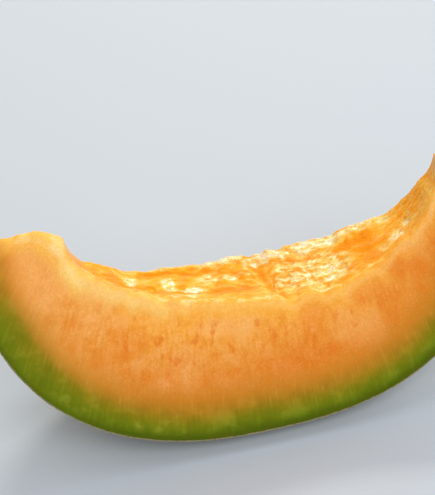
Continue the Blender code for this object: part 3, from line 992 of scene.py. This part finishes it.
def flesh_fields(n, grain_group):
    """The places, measures and noises that the flesh's look is worked out from, by name."""
    fields = {name: n.measure(name) for name in FLESH_MEASURES}
    fields["place"] = n.add("ShaderNodeTexCoord").outputs["Object"]
    parts = n.add("ShaderNodeSeparateXYZ")
    n.link(fields["place"], parts.inputs[0])
    fields["along"], fields["height"] = parts.outputs["X"], parts.outputs["Z"]
    fields["fan"] = n.join(fields["fan"], fields["depth"], 0.0)
    for name, (vector, stretch, *settings) in FLESH_NOISES.items():
        fields[name] = n.noise(n.stretch(fields[vector], stretch), *settings)
    blotches = n.math("MULTIPLY", fields["blotches"], BLOTCHES_IN_MOTTLE)
    fields["mottle"] = n.math("MULTIPLY_ADD", fields["fibres"], 1 - BLOTCHES_IN_MOTTLE, blotches)
    grain = n.group(grain_group, fields["place"], FLESH_GRAINS_PER_METRE)
    fields["speckle"] = grain.outputs["Grain"]
    fields["from_middle"] = n.math("ABSOLUTE", n.math("SUBTRACT", fields["along"], HOLLOW_MIDDLE))
    fields["curl_edge"] = n.math("ABSOLUTE", n.sway(fields["curls"], 1.0))
    return fields


def dry_colour(n, fields):
    """The cut faces' flesh: bands of colour under the rind, then patches, fibres and specks."""
    sway = 0.0
    for name, amount in BAND_SWAYS:
        sway = n.sway(fields[name], amount, sway)
    depth = n.math("MULTIPLY_ADD", sway, n.product(fields, SWAYED), fields["depth"])
    depth = n.math("SUBTRACT", depth, n.product(fields, DEEPER_BY_THE_STEM))
    depth = n.math("ADD", depth, n.product(fields, THINNER_BY_THE_RIDGE))
    bands = [(mm / RAMP_DEPTH, rgb) for mm, rgb in FLESH_TONES]
    tone = n.ramp(n.math("DIVIDE", depth, RAMP_DEPTH), bands)
    tone = n.tinted(fields, tone, FACE_TINTS)
    fibre_tone = n.tinted(fields, colour(*FIBRE_TONE), FIBRE_TINTS)
    tone = n.mix(n.product(fields, FIBRES), tone, fibre_tone)
    return n.tinted(fields, tone, SPECK_TINTS)


def wet_colour_with_highlights(n, fields):
    """The hollow's flesh: pale strands and folds with painted highlights of the wet film, and deep orange
    between them.
    """
    pale = n.math("MULTIPLY_ADD", fields["relief"], PALER_WITH_RELIEF, fields["pale_and_highlit"])
    streaks = n.math("MULTIPLY", n.sway(fields["strands"], 1.0), n.product(fields, STREAKS))
    pale = n.sway(fields["drift"], PALER_WITH_DRIFT, n.math("ADD", pale, streaks))
    pale = n.math("MULTIPLY_ADD", fields["crease"], PALER_WITH_CREASE, pale)
    return n.tinted(fields, n.ramp(n.span(pale, *WET_RANGE), WET_TONES_TO_HIGHLIGHT), WET_TINTS)


def with_corky_rim(n, fields, tone, corky_group):
    """The colour with the rind's cork at the rim, thicker where a cord is cut."""
    cork = n.group(corky_group, fields["place"], fields["net"])
    reach = n.math("MULTIPLY_ADD", cork.outputs["Raised"], RIM_CORK_AT_CORDS, RIM_CORK)
    corky = n.math("LESS_THAN", n.sway(fields["drift"], RIM_SWAY, fields["depth"]), reach)
    bark = n.mix(RIM_TONE_SHARE, cork.outputs["Cork"], colour(*RIM_TONE))
    return n.mix(n.math("MULTIPLY", corky, n.math("SUBTRACT", 1.0, fields["hollow"])), tone, bark)


def flesh_material(grain_group, corky_group):
    """Ripe flesh: green under the rind, orange inside, paler and wet at the hollow, with painted highlights
    there.
    """
    material, n, shader = new_material("flesh", FLESH_CONSTANTS)
    fields = flesh_fields(n, grain_group)
    tone = n.mix(fields["hollow"], dry_colour(n, fields), wet_colour_with_highlights(n, fields))
    n.link(with_corky_rim(n, fields, tone, corky_group), shader.inputs["Base Color"])
    roughness = n.sway(fields["speckle"], SPECKLE_ROUGHNESS, n.product(fields, FLESH_ROUGHNESS))
    n.link(roughness, shader.inputs["Roughness"])
    n.link(n.product(fields, WET_GLOSS), shader.inputs["Coat Weight"])
    grain = n.math("MULTIPLY", fields["speckle"], n.product(fields, GRAIN_BUMPED))
    curls = n.math("MULTIPLY_ADD", fields["curls"], CURLS_TO_STRANDS, fields["strands"])
    curls = n.math("MULTIPLY", curls, n.product(fields, CURL_BUMPED))
    normal = n.bump(curls, *CURL_BUMP, n.bump(grain, *GRAIN_BUMP))
    n.link(n.bump(fields["fibres"], *FIBRE_BUMP, normal), shader.inputs["Normal"])
    return material


def rind_material(grain_group, corky_group):
    """Grey-green skin under a raised net of dry, pale, corky cords."""
    material, n, shader = new_material("rind", RIND_CONSTANTS)
    place = n.add("ShaderNodeTexCoord").outputs["Object"]
    net = n.measure("net")
    fine = n.group(grain_group, place, CORK_GRAINS_PER_METRE).outputs
    cork = n.group(corky_group, place, net).outputs
    skin = n.ramp(n.noise(place, *SKIN_CLOUD), SKIN_TONES)
    skin = n.mix(n.math("MULTIPLY", fine["Pore"], PORE_SHARE), skin, colour(*PORE_TONE))
    n.link(n.mix(cork["Raised"], skin, cork["Cork"]), shader.inputs["Base Color"])
    n.link(n.span(cork["Raised"], 0.0, 1.0, *RIND_ROUGHNESS), shader.inputs["Roughness"])
    height = n.math("MULTIPLY_ADD", net, NET_IN_BUMP, fine["Grain"])
    n.link(n.bump(height, *RIND_BUMP), shader.inputs["Normal"])
    return material


def closed_mesh(name, grid, columns, measures, materials):
    """The grid as one closed mesh: quads round every row, and a fan to the pole at each end."""
    rows, cols = grid.shape[:2]
    poles = np.array([[-CORE_HALF_LENGTH + STEM_DIP_DEPTH, 0, 0], [CORE_HALF_LENGTH, 0, 0]])
    poles[:, 2] = grid[[0, -1], :, 2].mean(axis=1)
    points = np.concatenate([grid.reshape(-1, 3), poles]) + np.array(MELON_MIDDLE)
    points[:, 2] = np.maximum(points[:, 2], 0)
    index = np.arange(rows * cols).reshape(rows, cols)
    after = np.roll(index, -1, axis=1)
    quads = np.stack([index[:-1], after[:-1], after[1:], index[1:]], axis=-1)[:, :, ::-1]
    fans = [np.stack([after[0], index[0], np.full(cols, rows * cols)], axis=-1)[:, ::-1],
            np.stack([index[-1], after[-1], np.full(cols, rows * cols + 1)], axis=-1)[:, ::-1]]
    corners = np.concatenate([quads.reshape(-1), fans[0].reshape(-1), fans[1].reshape(-1)])
    sizes = np.concatenate([np.full((rows - 1) * cols, 4), np.full(2 * cols, 3)])

    mesh = bpy.data.meshes.new(name)
    mesh.vertices.add(len(points))
    mesh.vertices.foreach_set("co", points.astype(np.float32).reshape(-1))
    mesh.loops.add(len(corners))
    mesh.loops.foreach_set("vertex_index", corners.astype(np.int32))
    mesh.polygons.add(len(sizes))
    mesh.polygons.foreach_set("loop_start", running_sum(sizes)[:-1].astype(np.int32))
    mesh.update(calc_edges=True)

    first, last = columns["rind"].start, columns["rind"].stop - 1
    is_rind = np.zeros(cols, int)
    is_rind[first:last] = 1
    slots = np.concatenate([np.tile(is_rind, rows - 1), is_rind, is_rind])
    for material in materials:
        mesh.materials.append(material)
    mesh.polygons.foreach_set("material_index", slots.astype(np.int32))
    mesh.shade_smooth()
    ends = np.zeros(len(mesh.edges) * 2, np.int32)
    mesh.edges.foreach_get("vertices", ends)
    ends = ends.reshape(-1, 2)
    on_rim = [(ends < rows * cols) & (ends % cols == rim) for rim in (first, last)]
    sharp = on_rim[0].all(axis=1) | on_rim[1].all(axis=1)
    mesh.attributes.new("sharp_edge", "BOOLEAN", "EDGE").data.foreach_set("value", sharp)
    for measure, values in measures.items():
        padded = np.concatenate([values.reshape(-1), values[[0, -1]].mean(axis=1)])
        attribute = mesh.attributes.new(measure, "FLOAT", "POINT")
        attribute.data.foreach_set("value", padded.astype(np.float32))
    return mesh


def add_object(name, data):
    """A new object of this data in the scene."""
    new = bpy.data.objects.new(name, data)
    bpy.context.scene.collection.objects.link(new)
    return new


def build_slice():
    """The finished slice, riding on the frame in place of the plain solid."""
    grid, columns, cord, turns, x_in, fan = slice_grid()
    measures = measure_grid(grid, columns, cord, turns, x_in, fan)
    grid = roughen_hollow(grid, columns, measures, turns, x_in)
    grain_group = fine_grain_group()
    corky_group = cork_group(grain_group)
    materials = [material(grain_group, corky_group) for material in (flesh_material, rind_material)]
    mesh = closed_mesh("finished_slice", grid, columns, measures, materials)
    piece = add_object("finished_slice", mesh)
    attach(piece, "root")
    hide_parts("melon_slice")
    return piece


# The camera, as the photograph was taken: its lens is given for a sensor this wide, in
# millimetres, along the longer side of the picture
CAMERA_TURN = math.radians(-7.74)
CAMERA_HEIGHT_ANGLE = math.radians(31.91)
CAMERA_ROLL = math.radians(-7.52)
CAMERA_DISTANCE = 0.5208
CAMERA_TARGET = Vector((MELON_MIDDLE.x - 0.00604, 0.0, MELON_MIDDLE.z - BODY_RADIUS + 0.0532))
CAMERA_LENS = 131.37
CAMERA_SENSOR = 36.0
CAMERA_CLIP_START = 0.01

# The studio. A softbox is its name, the direction it shines from, its distance, width,
# height, power and tint.
FLOOR_SIZE = 6.0
FLOOR_CONSTANTS = {"Roughness": 0.7, "Specular IOR Level": 0.3, "Base Color": colour(190, 199, 212)}
SURROUND = {"Color": (1.0, 0.95, 0.86, 1.0), "Strength": 0.40}
SOFTBOX_AIM = Vector((0, 0, 0.04))
SOFTBOXES = (
    ("window", (0.15, 0.75, 0.80), 0.9, 0.30, 0.12, 2.8, (1.0, 0.95, 0.82)),
    ("front_fill", (0.15, -0.95, 0.75), 1.2, 0.9, 0.7, 8.6, (1.0, 1.0, 1.0)),
    ("overhead", (-0.1, 0.0, 1.0), 1.1, 0.7, 0.7, 1.5, (1.0, 1.0, 1.0)),
    ("side", (1.0, 0.25, 0.55), 1.0, 0.5, 0.5, 2.2, (1.0, 1.0, 1.0)),
    ("back_glow", (0.1, 1.0, 0.30), 1.2, 1.5, 0.7, 4.5, (1.0, 0.92, 0.76)),
)


def add_camera():
    """Look at the slice from its front, from above and a little from the stem end."""
    data = bpy.data.cameras.new("camera")
    data.lens = CAMERA_LENS
    data.sensor_width = CAMERA_SENSOR
    data.clip_start = CAMERA_CLIP_START
    camera = add_object("camera", data)
    place = Matrix.Translation(CAMERA_TARGET) @ Matrix.Rotation(CAMERA_TURN, 4, "Z")
    place = place @ Matrix.Rotation(math.pi / 2 - CAMERA_HEIGHT_ANGLE, 4, "X")
    place = place @ Matrix.Rotation(CAMERA_ROLL, 4, "Z")
    camera.matrix_world = place @ Matrix.Translation((0, 0, CAMERA_DISTANCE))
    bpy.context.scene.camera = camera


def add_softbox(name, direction, distance, width, height, power, tint):
    """A soft rectangular light that faces the slice from this direction."""
    data = bpy.data.lights.new(name, "AREA")
    data.shape = "RECTANGLE"
    data.size, data.size_y = width, height
    data.energy = power
    data.color = tint
    light = add_object(name, data)
    towards = Vector(direction).normalized()
    light.location = SOFTBOX_AIM + towards * distance
    light.rotation_euler = towards.to_track_quat("Z", "Y").to_euler()


def add_studio():
    """A plain pale floor, an even pale surround and soft lights."""
    bpy.ops.mesh.primitive_plane_add(size=FLOOR_SIZE)
    floor = bpy.context.object
    floor.name = "floor"
    floor.data.materials.append(new_material("pale_floor", FLOOR_CONSTANTS)[0])

    world = bpy.data.worlds.new("studio")
    world.use_nodes = True
    for socket, value in SURROUND.items():
        world.node_tree.nodes["Background"].inputs[socket].default_value = value
    bpy.context.scene.world = world
    bpy.context.scene.view_settings.view_transform = "Standard"
    for softbox in SOFTBOXES:
        add_softbox(*softbox)


build_slice()
add_studio()
add_camera()
